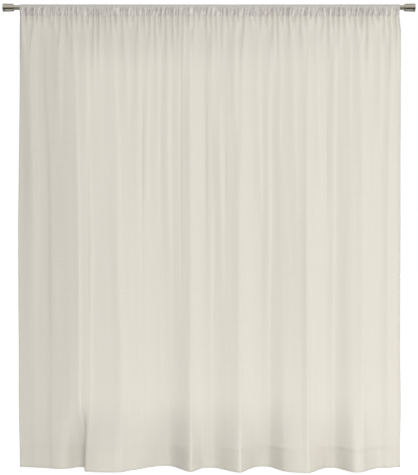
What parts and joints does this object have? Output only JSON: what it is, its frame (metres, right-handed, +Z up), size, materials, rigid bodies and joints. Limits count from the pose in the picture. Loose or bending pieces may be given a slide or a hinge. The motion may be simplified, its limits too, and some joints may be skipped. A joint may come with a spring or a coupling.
{
  "type": "sheer voile curtain on a curtain rod",
  "caption": "Wide sheer voile curtain gathered on a round metal rod through a sewn rod pocket, hanging in soft folds to a deep hem, with a short finial closing each end of the rod.",
  "frame": {"origin": "middle of the rod's axis, where the rod is held", "axes": "+Z up, along the drop of the curtain; +X along the rod, to the right as seen from the room; +Y away from the room, towards the wall"},
  "size_m": [2.17, 0.1653, 2.4546],
  "materials": {
    "voile": "sheer plain-weave voile, ivory, matt with a soft sheen",
    "rod_metal": "satin nickel with a warm tone"
  },
  "bodies": {
    "root": {"curtain_panel": "voile", "curtain_rod": "rod_metal", "finial_left": "rod_metal", "finial_right": "rod_metal"}
  },
  "joints": []
}
